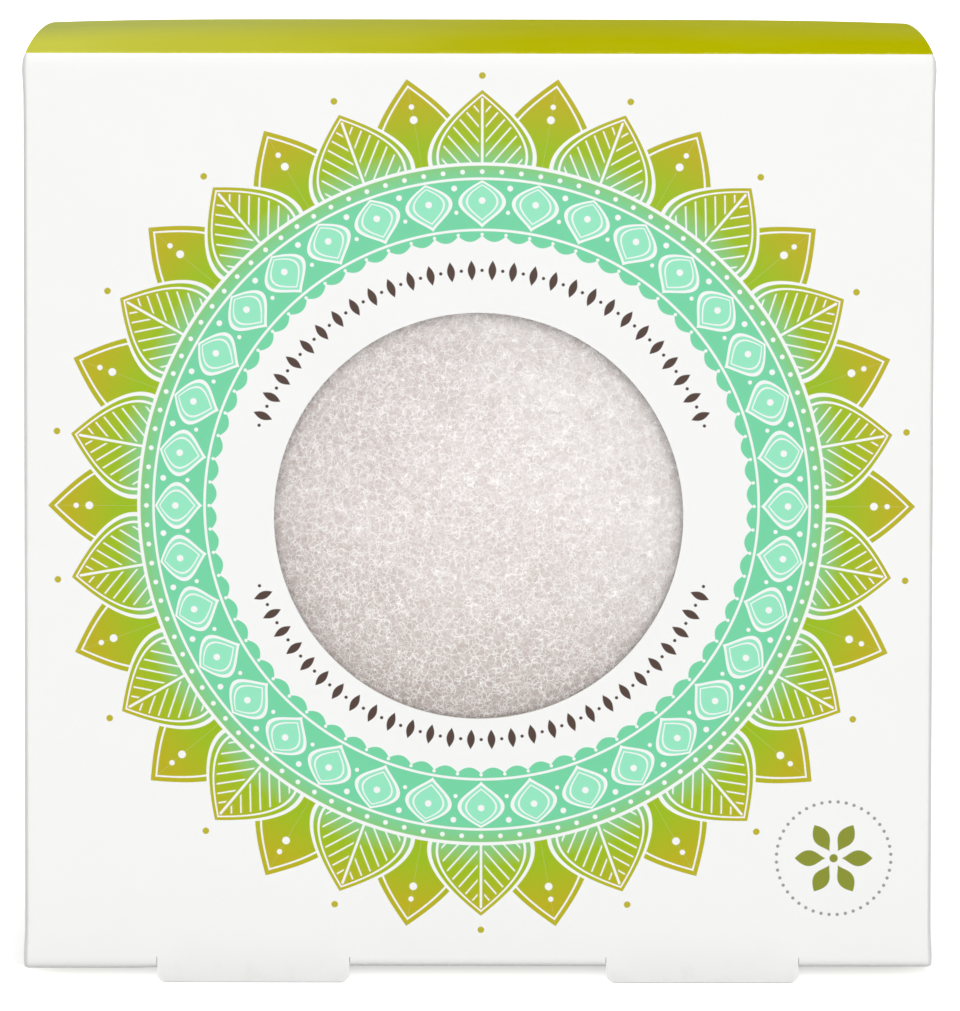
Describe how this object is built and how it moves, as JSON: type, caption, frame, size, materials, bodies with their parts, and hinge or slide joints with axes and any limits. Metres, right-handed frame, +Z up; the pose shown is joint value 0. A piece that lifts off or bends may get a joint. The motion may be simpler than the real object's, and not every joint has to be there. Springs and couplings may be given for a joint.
{
  "type": "boxed konjac facial sponge",
  "caption": "Domed konjac facial sponge standing in a square folding carton with a round film window, a bowed tuck lid and small feet.",
  "frame": {"origin": "middle of the carton's footprint, on the surface that its four feet stand on", "axes": "+X to the viewer's right across the front panel, +Y from the front panel to the back panel, +Z up towards the lid"},
  "size_m": [0.09, 0.045, 0.0945],
  "materials": {
    "printed_board": "satin",
    "white_board": "satin",
    "green_board": "satin",
    "clear_film": "gloss",
    "clear_glue": "satin",
    "konjac_fibre": "matte"
  },
  "bodies": {
    "tube": {"front_panel": "printed_board", "left_side_panel": "white_board", "right_side_panel": "white_board", "back_panel": "white_board", "glue_flap": "white_board", "seam_adhesive": "clear_glue", "window_film": "clear_film", "film_adhesive": "clear_glue", "bottom_outer_flap": "green_board", "bottom_inner_flap": "white_board", "bottom_left_dust_flap": "white_board", "bottom_right_dust_flap": "white_board", "bottom_adhesive": "clear_glue"},
    "lid": {"lid_panel": "green_board"},
    "tuck": {"tuck_flap": "green_board"},
    "left_dust": {"left_dust_flap": "white_board"},
    "right_dust": {"right_dust_flap": "white_board"},
    "puff": {"sponge": "konjac_fibre"}
  },
  "joints": [
    {"name": "lid_crease", "type": "hinge", "parent": "tube", "child": "lid", "pos_m": [0, -0.0225, 0.0929], "axis": [1, 0, 0], "range_deg": [0, 180]},
    {"name": "tuck_crease", "type": "hinge", "parent": "lid", "child": "tuck", "pos_m": [0, 0.02125, 0.0929], "axis": [1, 0, 0], "range_deg": [0, 45]},
    {"name": "left_dust_crease", "type": "hinge", "parent": "tube", "child": "left_dust", "pos_m": [-0.045, 0, 0.09215], "axis": [0, -1, 0], "range_deg": [0, 90]},
    {"name": "right_dust_crease", "type": "hinge", "parent": "tube", "child": "right_dust", "pos_m": [0.045, 0, 0.09215], "axis": [0, 1, 0], "range_deg": [0, 90]},
    {"name": "sponge_play", "type": "slide", "parent": "tube", "child": "puff", "axis": [0, 0, 1], "range_m": [0, 0.009]}
  ],
  "couplings": [
    {"joint": "tuck_crease", "follows": "lid_crease", "ratio": 0.25},
    {"joint": "left_dust_crease", "follows": "lid_crease", "ratio": 0.5},
    {"joint": "right_dust_crease", "follows": "lid_crease", "ratio": 0.5}
  ]
}
